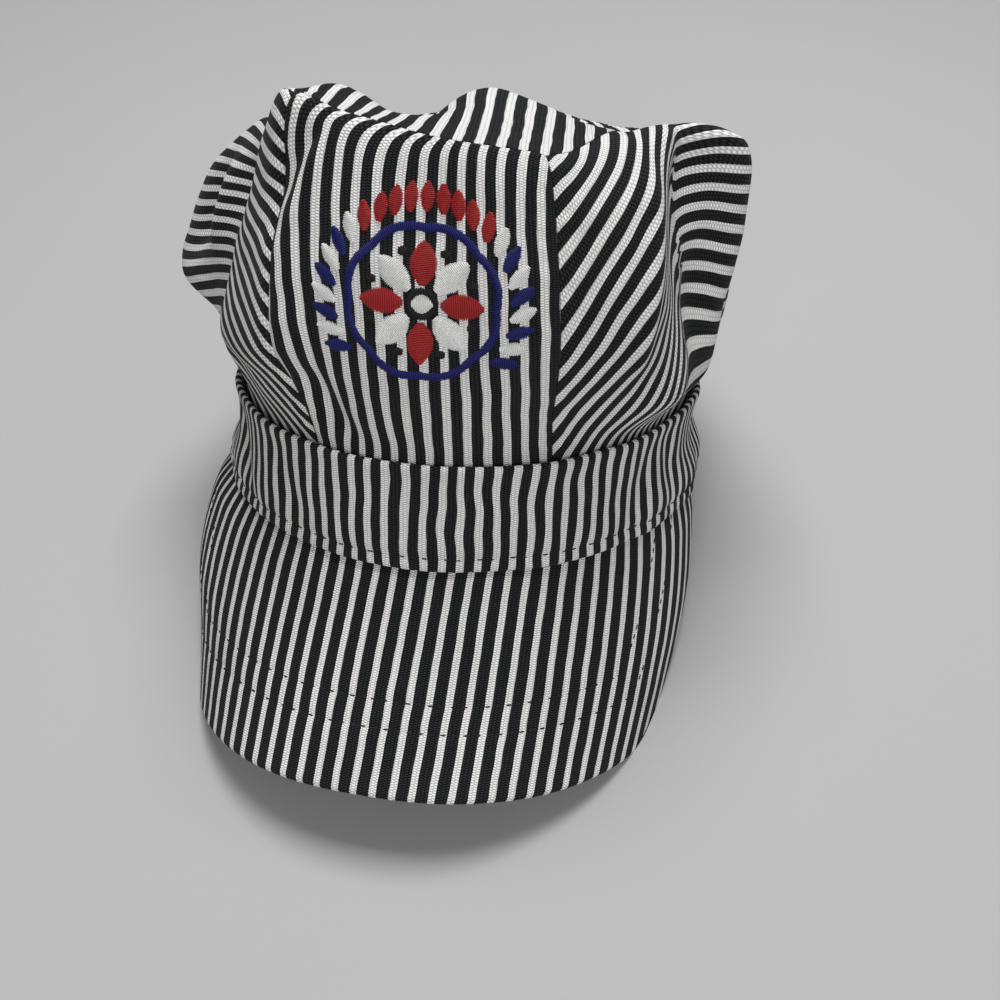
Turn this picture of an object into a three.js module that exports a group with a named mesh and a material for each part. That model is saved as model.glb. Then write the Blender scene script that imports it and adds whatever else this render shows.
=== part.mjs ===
import * as THREE from 'three';

// A soft railroad conductor's cap of striped cotton: a band, a tall crown made of a
// front panel, two side panels and an oval top, and a stiffened peak.
// Every piece is worked out in the cap's own frame: millimetres, the lower edge of
// the band in the plane z = 0, its middle at the origin, the front toward -Y and the
// wearer's left toward +X. Angles are in degrees round the middle, 0 at the front and
// growing toward +X. At the end the cap is tipped until it rests on its peak and on
// the back of its band.

// Driving dimensions
const seamGap = 0.3;
const bandSize = {
  halfWidth: 79,
  halfLength: 92.7,
  topHalfWidth: 77.4,
  topHalfLength: 94.4,
  height: 34.5,
  thickness: 2,
};
const peakSize = {
  slope: 49.4,
  halfWidth: 80,
  tipReach: 136,
  roundFrom: -47,
  roundness: 2.1,
  sideSlope: 38.2,
  sideEnd: 3,
  flange: 5,
  thickness: 3,
  lastAngle: 90.5,
};
const crownSize = {
  thickness: 1.6,
  tuck: 6,
  waistHeight: 48,
  topCentre: { x: 3, y: -32, z: 125 },
};
const rest = { tilt: 18.6, flattened: 1.2, shiftX: 5.75, shiftY: 11.58 };

const cloth = { black: 0x2b2b2d, mixed: 0x77777a, white: 0xd9d8d3 };

// The crown's outside, rib by rib. Reaches are measured outward from the band's top
// outline, heights from the band's lower edge, and rim is the radius of the top's seam;
// crest is how far the crest lies from the shoulder to the rim.
const ribColumns = [
  'angle', 'waist', 'belly', 'bellyZ', 'shoulder', 'shoulderZ', 'crest', 'crestZ', 'rim', 'rimZ',
];
const ribs = [
  [-150, 5, 13, 55, 0, 88, 0.45, 100, 29, 107],
  [-120, 6, 14, 58, 3, 92, 0.45, 103, 36, 107],
  [-98, 3, 17, 60, 4, 94, 0.45, 104, 41, 108],
  [-84, 2, 19.9, 62, 6.5, 95, 0.45, 107, 46, 112],
  [-72, 1, 19.2, 64, 7.5, 96, 0.45, 109.5, 51, 114.5],
  [-61, 0, 12, 63, 2.5, 100, 0.45, 113.5, 56, 116],
  [-51, 0, 5, 61, -2.5, 100, 0.45, 115, 64, 119],
  [-42, 1, 6.5, 61, -4, 102, 0.45, 118, 73, 123],
  [-33, 2, 7.5, 62, 0, 105, 0.45, 121.5, 81, 127],
  [-22, 1, 9, 68, 4.5, 110, 0.45, 126, 90.3, 132],
  [-12, 0, 4, 73, 2, 108, 0.45, 124, 89.5, 129],
  [0, 0, 2.5, 73, 0, 105, 0.45, 119, 89, 125],
  [12, 0, 3.5, 73, 2, 104, 0.45, 117, 90.5, 123],
  [23, 0, 9, 73, 8, 104, 0.45, 116, 92.5, 121.5],
  [33, 1, 11.5, 73, 9.5, 105, 0.45, 117.5, 82, 123.5],
  [42, 2.5, 12.5, 73, 10, 106, 0.45, 119, 73, 123],
  [49, 4, 13, 72, 8.5, 107, 0.4, 120.5, 65, 121],
  [56, 3.5, 8.5, 71, 6.5, 109, 0.33, 121.5, 58.5, 119.5],
  [64, 3, 8.5, 72, 11.5, 113, 0.28, 122, 54, 118],
  [73, 4, 7.5, 71, 10, 112, 0.3, 120, 50, 116.5],
  [84, 4, 5, 69, 6.5, 107, 0.4, 117, 45, 115],
  [105, 5, 10, 64, 6.5, 98, 0.45, 112, 39, 113],
  [135, 6, 13, 58, 3, 90, 0.45, 105, 31, 115],
  [180, 5, 12, 55, -2, 86, 0.45, 100, 25, 110],
].map(row => Object.fromEntries(ribColumns.map((name, i) => [name, row[i]])));

// Pleats and creases: a line from one angle low down to another high up, its half
// width in degrees, its depth outward, and the stretch of the wall that it runs over.
const foldColumns = ['low', 'high', 'halfWidth', 'depth', 'from', 'to'];
const folds = [
  [59, 50.5, 4, -11, 0.06, 0.86],
  [-57, -49, 5, -12, 0.08, 0.66],
  [-52, -43, 4.5, -4, 0.5, 0.92],
  [-25, -13, 3.5, -3.5, 0.6, 0.98],
  [-9, -20, 3.5, -3, 0.08, 0.42],
  [100, 96, 8, -4, 0.05, 0.8],
  [124, 121, 8, -5, 0.05, 0.9],
  [152, 147, 9, -5, 0.05, 0.85],
  [-104, -99, 8, -5, 0.05, 0.85],
  [-131, -127, 9, -5, 0.05, 0.9],
  [-157, -153, 8, -4, 0.05, 0.8],
].map(row => Object.fromEntries(foldColumns.map((name, i) => [name, row[i]])));

// How far the sides of the band, by height from 0 to 1, and of the peak, by distance
// down its slope, stand out from their plain outlines. Here left is toward -X.
const bandSides = { up: [0, 0.25, 0.55, 1], left: [4, 3, -1.5, 0], right: [1, 1.5, -1.8, 0] };
const peakSides = { run: [0, 12, 35, 55, 80], left: [0, 7, 7.5, 1, -7], right: [0, 3, 5, 4, 1] };

// Swells and hollows of the oval top.
const swellColumns = ['x', 'y', 'radius', 'height'];
const swells = [
  [7, -44, 20, 6],
  [-32, -60, 15, 4],
  [-12, -56, 15, -7],
  [-20, -30, 18, -14],
  [44, -38, 12, -3],
].map(row => Object.fromEntries(swellColumns.map((name, i) => [name, row[i]])));

// The front panel's seams toward -X and +X, as angles at the foot, midway and the rim.
const leftSeam = { foot: -17.5, middle: -22.5, rim: -20.5 };
const rightSeam = { foot: 28.5, middle: 25, rim: 22 };

const radians = Math.PI / 180;
const mix = (a, b, t) => a + (b - a) * t;
const clamp01 = t => Math.min(1, Math.max(0, t));
const smooth = t => clamp01(t) ** 2 * (3 - 2 * clamp01(t));

// A smooth curve through (x, y) pairs with rising x.
function through(points, x) {
  const last = points.length - 1;
  let i = 0;
  while (i < last - 1 && x > points[i + 1][0]) i += 1;
  const slope = k => {
    const a = points[Math.max(0, k - 1)];
    const b = points[Math.min(last, k + 1)];
    return (b[1] - a[1]) / (b[0] - a[0]);
  };
  const width = points[i + 1][0] - points[i][0];
  const t = clamp01((x - points[i][0]) / width);
  const rise = points[i + 1][1] - points[i][1];
  const a = slope(i) * width - rise;
  const b = rise - slope(i + 1) * width;
  return points[i][1] + rise * t + t * (1 - t) * (a * (1 - t) + b * t);
}

function ribValue(name, angle) {
  const turn = ((angle + 180) % 360 + 360) % 360 - 180;
  const own = ribs.map(rib => [rib.angle, rib[name]]);
  const before = own.slice(-3).map(([x, y]) => [x - 360, y]);
  const after = own.slice(0, 3).map(([x, y]) => [x + 360, y]);
  return through([...before, ...own, ...after], turn);
}

function outline(halfWidth, halfLength, angle) {
  const across = Math.sin(angle * radians) / halfWidth;
  const along = Math.cos(angle * radians) / halfLength;
  return 1 / Math.hypot(across, along);
}

const atAngle = (radius, angle, z) => new THREE.Vector3(
  radius * Math.sin(angle * radians), -radius * Math.cos(angle * radians), z);

// How far the folds push the wall out at an angle, for a place up the wall from 0 to 1.
function foldDepth(angle, up) {
  let depth = 0;
  for (const fold of folds) {
    const middle = mix(fold.low, fold.high, clamp01((up - fold.from) / (fold.to - fold.from)));
    const away = Math.abs(angle - middle) / fold.halfWidth;
    const fadeIn = smooth((up - fold.from) / 0.14);
    const fadeOut = smooth((fold.to - up) / 0.14);
    depth += fold.depth * fadeIn * fadeOut * Math.exp(-away * away);
  }
  return depth;
}

// A side table's value at a place along it, for whichever side the angle is on.
function sideValue(table, places, angle, place) {
  const values = Math.sin(angle * radians) > 0 ? table.right : table.left;
  return through(places.map((x, i) => [x, values[i]]), place);
}

function bandPush(angle, up) {
  return Math.sin(angle * radians) ** 4 * sideValue(bandSides, bandSides.up, angle, up);
}

// The outside of the band, which is drawn in at mid height and flares below at the sides.
function bandRadius(angle, up) {
  const halfWidth = mix(bandSize.halfWidth, bandSize.topHalfWidth, up);
  const halfLength = mix(bandSize.halfLength, bandSize.topHalfLength, up);
  return outline(halfWidth, halfLength, angle) + bandPush(angle, up);
}

const bandWall = (angle, up) => atAngle(bandRadius(angle, up), angle, up * bandSize.height);

// How far a piece that stands inside the band keeps from the band's outside.
const rootInset = bandSize.thickness + 2 * seamGap;

// The outside of the crown's wall: up runs from the tucked foot (0) to the top's seam (1).
const foot = bandSize.height - crownSize.tuck;
const stations = [0, 0.1, 0.24, 0.46, 0.74, 0.88, 1];
function crownWall(angle, up) {
  const tucked = bandRadius(angle, foot / bandSize.height) - rootInset;
  const inner = bandRadius(angle, 1) - rootInset;
  const outer = outline(bandSize.topHalfWidth, bandSize.topHalfLength, angle);
  const shoulder = outer + ribValue('shoulder', angle);
  const rim = ribValue('rim', angle);
  const radii = [tucked, inner, outer + ribValue('waist', angle),
    outer + ribValue('belly', angle), shoulder,
    mix(shoulder, rim, ribValue('crest', angle)), rim];
  const heights = [foot, bandSize.height + 1.5, crownSize.waistHeight,
    ribValue('bellyZ', angle), ribValue('shoulderZ', angle), ribValue('crestZ', angle),
    ribValue('rimZ', angle)];
  const lean = 90 * smooth((up - 0.7) / 0.25) * radians;
  const push = foldDepth(angle, up);
  const radius = through(stations.map((s, i) => [s, radii[i]]), up) + push * Math.cos(lean);
  const height = through(stations.map((s, i) => [s, heights[i]]), up) + push * Math.sin(lean);
  return atAngle(radius, angle, height);
}

function seamAngle(seam, up) {
  return through([[0, seam.foot], [0.5, seam.middle], [1, seam.rim]], up);
}

// The oval top: away runs from its middle (0) to its seam (1).
function crownTop(angle, away) {
  const edge = crownWall(angle, 1);
  const centre = crownSize.topCentre;
  const point = new THREE.Vector3(
    mix(centre.x, edge.x, away), mix(centre.y, edge.y, away), mix(centre.z, edge.z, away ** 1.6));
  for (const swell of swells) {
    const near = ((point.x - swell.x) ** 2 + (point.y - swell.y) ** 2) / swell.radius ** 2;
    point.z += swell.height * Math.exp(-near) * smooth((1 - away) * 4);
  }
  return point;
}

// The peak is the band's lower outline carried forward and down on a straight slope.
const down = Math.sin(peakSize.slope * radians);
const forward = Math.cos(peakSize.slope * radians);
function peakLength(angle) {
  const { x, y } = atAngle(outline(bandSize.halfWidth, bandSize.halfLength, angle), angle, 0);
  const wide = Math.min(1, Math.abs(x) / peakSize.halfWidth) ** peakSize.roundness;
  const reach = (peakSize.tipReach + peakSize.roundFrom) * (1 - wide) ** (1 / peakSize.roundness);
  const front = (y - (peakSize.roundFrom - reach)) / forward;
  const rise = Math.tan(peakSize.sideSlope * radians);
  const side = rise * (peakSize.sideEnd - y) / (down - rise * forward);
  return (front ** -8 + side ** -8) ** (-1 / 8);
}

// Its first row is a flange that stands inside the band.
const peakRows = 10;
function peakTop(across, along) {
  const angle = (1 - 2 * across) * peakSize.lastAngle;
  const out = (along * peakRows - 1) / (peakRows - 1);
  const run = out < 0 ? -peakSize.flange * (1 - along * peakRows) : out * peakLength(angle);
  const height = Math.max(0, -run);
  const root = atAngle(bandRadius(angle, height / bandSize.height) - rootInset, angle, height);
  if (run < 0) return root;
  const flare = Math.sin(angle * radians) ** 3 * sideValue(peakSides, peakSides.run, angle, run);
  return root.add(new THREE.Vector3(flare, -run * forward, -run * down));
}

// Cloth that would hang below the surface the cap rests on lies flat on it.
function floorHeight(y) {
  const lowest = -bandSize.halfLength * Math.sin(rest.tilt * radians) + rest.flattened;
  return (lowest - y * -Math.sin(rest.tilt * radians)) / Math.cos(rest.tilt * radians);
}

// A closed wall of even thickness behind a surface given for u and v from 0 to 1. Where
// facing gives a direction, the thickness is laid along it instead of square to the surface.
function wall(surface, columns, rows, thickness, { ring = false, facing } = {}) {
  const step = 1e-3;
  const across = ring ? columns : columns + 1;
  const outside = [];
  const inside = [];
  for (let j = 0; j <= rows; j += 1) {
    for (let i = 0; i < across; i += 1) {
      const u = i / columns;
      const v = j / rows;
      const u0 = ring ? u - step : Math.max(0, u - step);
      const u1 = ring ? u + step : Math.min(1, u + step);
      const alongU = surface(u1, v).sub(surface(u0, v));
      const alongV = surface(u, Math.min(1, v + step)).sub(surface(u, Math.max(0, v - step)));
      const normal = facing?.(u, v) ?? alongU.cross(alongV).normalize();
      const point = surface(u, v);
      outside.push(point);
      inside.push(point.clone().addScaledVector(normal, -thickness));
    }
  }
  const points = [...outside, ...inside];
  for (const point of points) point.z = Math.max(point.z, floorHeight(point.y));
  const faces = [];
  const quad = (a, b, c, d) => faces.push(a, b, c, a, c, d);
  const at = (i, j) => j * across + i % across;
  const back = outside.length;
  for (let j = 0; j < rows; j += 1) {
    for (let i = 0; i < columns; i += 1) {
      const corners = [at(i, j), at(i + 1, j), at(i + 1, j + 1), at(i, j + 1)];
      quad(...corners);
      quad(...corners.map(k => k + back).reverse());
    }
  }
  for (let i = 0; i < columns; i += 1) {
    quad(at(i + 1, 0), at(i, 0), at(i, 0) + back, at(i + 1, 0) + back);
    quad(at(i, rows), at(i + 1, rows), at(i + 1, rows) + back, at(i, rows) + back);
  }
  for (let j = 0; j < rows && !ring; j += 1) {
    quad(at(0, j), at(0, j + 1), at(0, j + 1) + back, at(0, j) + back);
    quad(at(columns, j + 1), at(columns, j), at(columns, j) + back, at(columns, j + 1) + back);
  }
  const geometry = new THREE.BufferGeometry();
  const flat = points.flatMap(point => point.toArray());
  geometry.setAttribute('position', new THREE.Float32BufferAttribute(flat, 3));
  geometry.setIndex(faces);
  geometry.computeVertexNormals();
  return geometry;
}

function piece(name, geometry, color, roughness) {
  const material = new THREE.MeshStandardMaterial({ color, roughness, metalness: 0 });
  const mesh = new THREE.Mesh(geometry, material);
  mesh.name = name;
  return mesh;
}

// The top's seam is mitred: the wall and the oval top both lay their thickness halfway
// between down and inward there. The stretch is the length of cloth next to that seam.
const rimStretch = 55;
const rimFacing = angle => atAngle(1, angle, 1).normalize();

// Part of the crown's wall between two seams; each seam leaves its small gap.
function crownPanel(from, to, columns, crowded = u => u) {
  const rows = 15;
  const clear = 0.6 * seamGap;
  const angleAt = (u, up) => {
    const gap = clear / outline(bandSize.topHalfWidth, bandSize.topHalfLength, from(up)) / radians;
    return mix(from(up) + gap, to(up) - gap, crowded(u));
  };
  const surface = (u, v) => {
    const up = v * (1 - clear / rimStretch);
    return crownWall(angleAt(u, up), up);
  };
  const facing = (u, v) => (v === 1 ? rimFacing(angleAt(u, v)) : undefined);
  return wall(surface, columns, rows, crownSize.thickness, { facing });
}

// The oval top on a square grid drawn out to a disc, so that it has no pole.
function topPanel() {
  const polar = (u, v) => {
    const a = 2 * u - 1;
    const b = 2 * v - 1;
    const x = a * Math.sqrt(1 - b * b / 2);
    const y = b * Math.sqrt(1 - a * a / 2);
    return { angle: Math.atan2(x, -y) / radians, away: Math.min(1, Math.hypot(x, y)) };
  };
  const surface = (u, v) => {
    const { angle, away } = polar(u, v);
    return crownTop(angle, away * (1 - seamGap / rimStretch));
  };
  const onEdge = t => t === 0 || t === 1;
  const facing = (u, v) => (onEdge(u) || onEdge(v) ? rimFacing(polar(u, v).angle) : undefined);
  return wall(surface, 16, 16, crownSize.thickness, { facing });
}

// The side panels' columns crowd toward the front, where the cloth is pleated.
const crowding = 1.5;
const crowdedAtStart = u => u ** crowding;
const crowdedAtEnd = u => 1 - (1 - u) ** crowding;

const fullTurn = 360;
const onLeftSeam = up => seamAngle(leftSeam, up);
const onRightSeam = up => seamAngle(rightSeam, up);
const atBack = side => () => side * fullTurn / 2;

const bandShape = wall((u, v) => bandWall(u * fullTurn, v), 72, 5, bandSize.thickness, { ring: true });
const peakShape = wall(peakTop, 40, peakRows, peakSize.thickness);
const frontShape = crownPanel(onLeftSeam, onRightSeam, 20);
const rightSideShape = crownPanel(atBack(-1), onLeftSeam, 44, crowdedAtEnd);
const leftSideShape = crownPanel(onRightSeam, atBack(1), 44, crowdedAtStart);

const cap = new THREE.Group();
cap.add(piece('band', bandShape, cloth.mixed, 0.85));
cap.add(piece('peak', peakShape, cloth.black, 0.8));
cap.add(piece('front_panel', frontShape, cloth.mixed, 0.85));
cap.add(piece('right_side_panel', rightSideShape, cloth.black, 0.85));
cap.add(piece('left_side_panel', leftSideShape, cloth.white, 0.85));
cap.add(piece('top_panel', topPanel(), cloth.mixed, 0.85));

// Tipped back until the peak and the back of the band lie on the plane z = 0.
cap.rotation.x = -rest.tilt * radians;
const lifted = bandSize.halfLength * Math.sin(rest.tilt * radians) - rest.flattened;
cap.position.set(rest.shiftX, rest.shiftY, lifted);
const part = new THREE.Group();
part.add(cap);

export default part;
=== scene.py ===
import math

import bpy
import numpy as np
from mathutils import Matrix, Vector


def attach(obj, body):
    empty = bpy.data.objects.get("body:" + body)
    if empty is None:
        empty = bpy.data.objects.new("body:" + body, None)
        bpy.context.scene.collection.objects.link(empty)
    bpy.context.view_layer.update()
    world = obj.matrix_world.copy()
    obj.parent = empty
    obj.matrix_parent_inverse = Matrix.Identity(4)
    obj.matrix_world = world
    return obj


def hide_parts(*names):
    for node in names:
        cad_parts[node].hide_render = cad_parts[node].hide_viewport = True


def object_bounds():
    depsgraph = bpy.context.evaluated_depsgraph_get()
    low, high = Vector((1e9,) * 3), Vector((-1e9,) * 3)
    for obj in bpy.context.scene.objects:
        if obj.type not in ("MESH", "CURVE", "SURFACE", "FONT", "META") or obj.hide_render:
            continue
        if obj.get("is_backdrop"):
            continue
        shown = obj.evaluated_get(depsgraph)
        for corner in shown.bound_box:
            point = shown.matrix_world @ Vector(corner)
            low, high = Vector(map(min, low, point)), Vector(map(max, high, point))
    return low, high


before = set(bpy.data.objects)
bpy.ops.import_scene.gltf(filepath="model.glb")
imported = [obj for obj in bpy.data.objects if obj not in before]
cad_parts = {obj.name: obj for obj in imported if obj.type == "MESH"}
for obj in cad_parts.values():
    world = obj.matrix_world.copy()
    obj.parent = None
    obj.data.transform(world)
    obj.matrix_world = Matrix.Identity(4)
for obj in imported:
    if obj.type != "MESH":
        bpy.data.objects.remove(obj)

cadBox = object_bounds()
print("frame loaded:", ", ".join(sorted(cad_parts)))

# The cap is worked out in its own place: millimetres, the band's lower edge at height 0,
# the front toward -Y and the wearer's left toward +X. Angles are in degrees round the
# middle, 0 at the front and growing toward +X. toFrame tips it to rest, in metres.
rest = {"tilt": 18.6, "flattened": 1.2, "shiftX": 5.75, "shiftY": 11.58}
band = {
    "halfWidth": 79, "halfLength": 92.7, "topHalfWidth": 77.4, "topHalfLength": 94.4,
    "height": 34.5, "thickness": 2,
    "sideAt": [0, 0.25, 0.55, 1], "sideLeft": [4, 3, -1.5, 0], "sideRight": [1, 1.5, -1.8, 0],
    "sidePower": 4, "rootInset": 2.6, "stitchUp": 4.2,
}


def mix(a, b, t):
    return a + (b - a) * t


def smooth(t):
    t = np.clip(t, 0, 1)
    return t * t * (3 - 2 * t)


def unit(vectors):
    return vectors / np.maximum(np.linalg.norm(vectors, axis=-1, keepdims=True), 1e-12)


def through(xs, ys, x):
    # a smooth curve through points with rising xs; each of ys is a number or an array like x
    xs = np.asarray(xs, float)
    x = np.asarray(x, float)
    ys = np.array([np.broadcast_to(y, x.shape) for y in ys], float)
    last = len(xs) - 1
    low = np.maximum(np.arange(last + 1) - 1, 0)
    high = np.minimum(np.arange(last + 1) + 1, last)
    slopes = (ys[high] - ys[low]) / (xs[high] - xs[low]).reshape((-1,) + (1,) * x.ndim)
    i = np.clip(np.searchsorted(xs, x) - 1, 0, last - 1)
    pick = lambda values, k: np.take_along_axis(values, k[None], 0)[0]
    width = xs[i + 1] - xs[i]
    t = np.clip((x - xs[i]) / width, 0, 1)
    rise = pick(ys, i + 1) - pick(ys, i)
    a = pick(slopes, i) * width - rise
    b = rise - pick(slopes, i + 1) * width
    return pick(ys, i) + rise * t + t * (1 - t) * (a * (1 - t) + b * t)


def hump(distance, halfWidth):
    return np.exp(-((distance / halfWidth) ** 2))


def sine(angle):
    return np.sin(np.radians(angle))


def cosine(angle):
    return np.cos(np.radians(angle))


def lengthAlong(path):
    steps = np.linalg.norm(np.diff(path, axis=0), axis=1)
    return np.concatenate([[0], np.cumsum(steps)])


def outline(halfWidth, halfLength, angle):
    return 1 / np.hypot(sine(angle) / halfWidth, cosine(angle) / halfLength)


def atAngle(radius, angle, z):
    return np.stack(np.broadcast_arrays(radius * sine(angle), -radius * cosine(angle), z), -1)


def restLift():
    return band["halfLength"] * sine(rest["tilt"]) - rest["flattened"]


def toFrame(points):
    tilt = rest["tilt"]
    x, y, z = np.moveaxis(np.asarray(points, float), -1, 0)
    height = -y * sine(tilt) + z * cosine(tilt) + restLift()
    back = y * cosine(tilt) + z * sine(tilt) + rest["shiftY"]
    return np.stack([x + rest["shiftX"], back, np.maximum(height, 0)], -1) * 0.001


def inFrame(surface):
    # the same surface, tipped to rest
    return lambda a, b: toFrame(surface(a, b))


def ripples(points, height, wavelength, seed):
    # gentle unevenness of about that height, from a few plane waves through the room
    draw = np.random.default_rng(seed)
    total = 0
    for _ in range(8):
        heading = unit(draw.normal(size=3))
        wave = wavelength * draw.uniform(0.7, 1.5)
        total = total + np.sin(points @ heading * (2 * math.pi / wave) + draw.uniform(0, 2 * math.pi))
    return height * (total / 4)


def sidePush(piece, angle, at):
    # how far a piece stands out at the sides, from its tables for the left and the right
    left, right = (through(piece["sideAt"], piece[side], at) for side in ("sideLeft", "sideRight"))
    return sine(angle) ** piece["sidePower"] * np.where(sine(angle) > 0, right, left)


def bandRadius(angle, up):
    halfWidth = mix(band["halfWidth"], band["topHalfWidth"], up)
    halfLength = mix(band["halfLength"], band["topHalfLength"], up)
    return outline(halfWidth, halfLength, angle) + sidePush(band, angle, up)


# The crown's wall, rib by rib, and its folds. Reaches are outward from the band's top
# outline, heights from the band's lower edge, rim is the radius of the top's seam.
crown = {
    "thickness": 1.6, "tuck": 6, "rootRise": 1.5, "waistHeight": 48, "wallLength": 110,
    "lines": 116, "columnWidth": 1.48353,  # a panel's grid
    # the top: its middle, its reach, how it domes, and how its swells and waves fade at the rim
    "topCentre": (3, -32, 125), "rimStretch": 55, "rimRadius": 70, "rimTurn": 3,
    "dome": 1.6, "swellFade": 4, "rimCalm": 12,
    # a fold fades out over foldFade; above leanFrom, folds push upward instead of outward
    "foldFade": 0.14, "footCalm": 0.25, "leanFrom": 0.7, "leanOver": 0.25,
    "stations": [0, 0.1, 0.24, 0.46, 0.74, 0.88, 1],
    "ribs": {
        "angle": [-150, -120, -98, -84, -72, -61, -51, -42, -33, -22, -12, 0,
                  12, 23, 33, 40, 44, 50, 57, 64, 71, 80, 105, 135, 180],
        "waist": [5, 6, 3, 2, 2, 3, 3, 2, 2, 1, 0, 0,
                  0, 0, 1, 2.5, 4, 6, 6.5, 4, 5, 4, 5, 6, 5],
        "belly": [13, 14, 17, 19.9, 17.5, 6, 4.5, 7, 7.5, 9, 4, 2.5,
                  3.5, 9, 11.5, 13, 10.5, 5.5, 1, -0.5, 8, 6, 10, 13, 12],
        "bellyZ": [55, 58, 60, 62, 64, 63, 61, 61, 62, 68, 73, 73,
                   73, 73, 73, 73, 73, 72, 72, 72, 71, 69, 64, 58, 55],
        "shoulder": [0, 3, 4, 6.5, 7.5, 2.5, -2.5, -4, 0, 4.5, 2, 0,
                     2, 8, 9.5, 10, 8, 0, -5, 2.5, 11, 8, 6.5, 3, -2],
        "shoulderZ": [88, 92, 94, 95, 96, 100, 100, 102, 105, 110, 108, 105,
                      104, 104, 105, 106, 106, 107, 108, 112, 112, 108, 98, 90, 86],
        "crest": [0.45] * 5 + [0.43, 0.45, 0.5, 0.5] + [0.45] * 6 +
                 [0.42, 0.38, 0.12, 0, 0.05, 0.2, 0.35] + [0.45] * 3,
        "crestZ": [100, 103, 104, 107, 109.5, 114.5, 116, 115.5, 119, 126, 124, 119,
                   117, 116, 117.5, 119.5, 120.5, 122.5, 122.5, 122.5, 120.5, 117.5, 112, 105, 100],
        "rim": [29, 36, 41, 46, 51, 56, 63, 69.5, 78.5, 90.3, 89.5, 89,
                90.5, 92.5, 82, 75, 70.5, 64, 58, 54, 51, 46.5, 39, 31, 25],
        "rimZ": [107, 107, 108, 112, 114.5, 116, 118, 121, 126, 132, 129, 125,
                 123, 121.5, 123.5, 123.5, 122.5, 121, 119.5, 118, 117, 115, 113, 115, 110],
    },
    # each fold: angle low down, angle high up, half width, depth, and where it starts and ends
    "folds": [
        (-56, -43, 5, -3.5, 0.42, 0.85), (-71, -57, 3.2, -3.4, 0.46, 0.86), (-61, -50, 2.8, 2.6, 0.5, 0.84),
        (40.5, 42, 2, 1.6, 0.3, 0.86), (-21, -10.5, 1.9, 1.5, 0.6, 0.96),
        (-25, -13, 3.5, -3.5, 0.6, 0.98), (-9, -20, 3.5, -3, 0.08, 0.42),
        (100, 96, 8, -4, 0.05, 0.8), (124, 121, 8, -5, 0.05, 0.9), (152, 147, 9, -5, 0.05, 0.85),
        (-104, -99, 8, -5, 0.05, 0.85), (-131, -127, 9, -5, 0.05, 0.9),
        (-157, -153, 8, -4, 0.05, 0.8),
    ],
    # swells and hollows of the oval top: x, y, radius, height
    "swells": [(7, -44, 20, 6), (-26, -68, 12, 3.5), (-10, -52, 14, -8), (-20, -30, 18, -14),
               (44, -38, 12, -3)],
}
seams = {"left": (-17.5, -22.5, -20.5), "right": (28.5, 25, 22)}  # angle at foot, midway, rim
seamFinish = {"dip": 0.75, "dipWidth": 1.5, "puckers": 0.14, "puckerLength": 6.5,
              "puckerReach": 7, "puckerDrift": 17}
unevenness = {"broad": (0.65, 34, 5), "fine": (0.16, 13, 8)}  # height, wavelength, seed


def seamAngle(seam, up):
    return through([0, 0.5, 1], seams[seam], up)


def ribValue(name, angle):
    turn = (np.asarray(angle, float) + 180) % 360 - 180
    angles = np.array(crown["ribs"]["angle"], float)
    values = np.array(crown["ribs"][name], float)
    xs = np.concatenate([angles[-3:] - 360, angles, angles[:3] + 360])
    return through(xs, np.concatenate([values[-3:], values, values[:3]]), turn)


def foldDepth(angle, up):
    depth = 0
    for low, high, halfWidth, fold, start, end in crown["folds"]:
        middle = mix(low, high, np.clip((up - start) / (end - start), 0, 1))
        fade = smooth((up - start) / crown["foldFade"]) * smooth((end - up) / crown["foldFade"])
        depth = depth + fold * fade * hump(angle - middle, halfWidth)
    return depth


def seamDip(distance, place):
    # cloth drawn in along a seam, with small puckers that die away beside it
    drift = 2 * np.sin(place / seamFinish["puckerDrift"])
    pucker = np.sin(2 * math.pi * place / seamFinish["puckerLength"] + drift)
    reach = hump(distance, seamFinish["puckerReach"])
    groove = hump(distance, seamFinish["dipWidth"])
    return -seamFinish["dip"] * groove + seamFinish["puckers"] * pucker * reach * (1 - groove)


def wallDetail(angle, up, point):
    turn = (angle + 180) % 360 - 180
    radius = np.hypot(point[..., 0], point[..., 1])
    place = up * crown["wallLength"]
    push = 0
    for seam in (seamAngle("left", up), seamAngle("right", up), 180, -180):
        distance = np.radians(turn - seam) * radius
        push = push + seamDip(distance, place)
    for wave in unevenness.values():
        push = push + ripples(point, *wave) * smooth(up / crown["footCalm"])
    return push + seamDip((1 - up) * crown["rimStretch"], np.radians(turn) * crown["rimRadius"])


def crownWall(angle, up):
    angle, up = np.broadcast_arrays(np.asarray(angle, float), np.asarray(up, float))
    foot = band["height"] - crown["tuck"]
    tucked = bandRadius(angle, foot / band["height"]) - band["rootInset"]
    inner = bandRadius(angle, 1.0) - band["rootInset"]
    outer = outline(band["topHalfWidth"], band["topHalfLength"], angle)
    shoulder = outer + ribValue("shoulder", angle)
    rim = ribValue("rim", angle)
    radii = [tucked, inner, outer + ribValue("waist", angle), outer + ribValue("belly", angle),
             shoulder, mix(shoulder, rim, ribValue("crest", angle)), rim]
    heights = [foot, band["height"] + crown["rootRise"], crown["waistHeight"], ribValue("bellyZ", angle),
               ribValue("shoulderZ", angle), ribValue("crestZ", angle), ribValue("rimZ", angle)]
    lean = math.pi / 2 * smooth((up - crown["leanFrom"]) / crown["leanOver"])
    radius = through(crown["stations"], radii, up)
    height = through(crown["stations"], heights, up)
    push = foldDepth(angle, up) + wallDetail(angle, up, atAngle(radius, angle, height))
    return atAngle(radius + push * np.cos(lean), angle, height + push * np.sin(lean))


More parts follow.
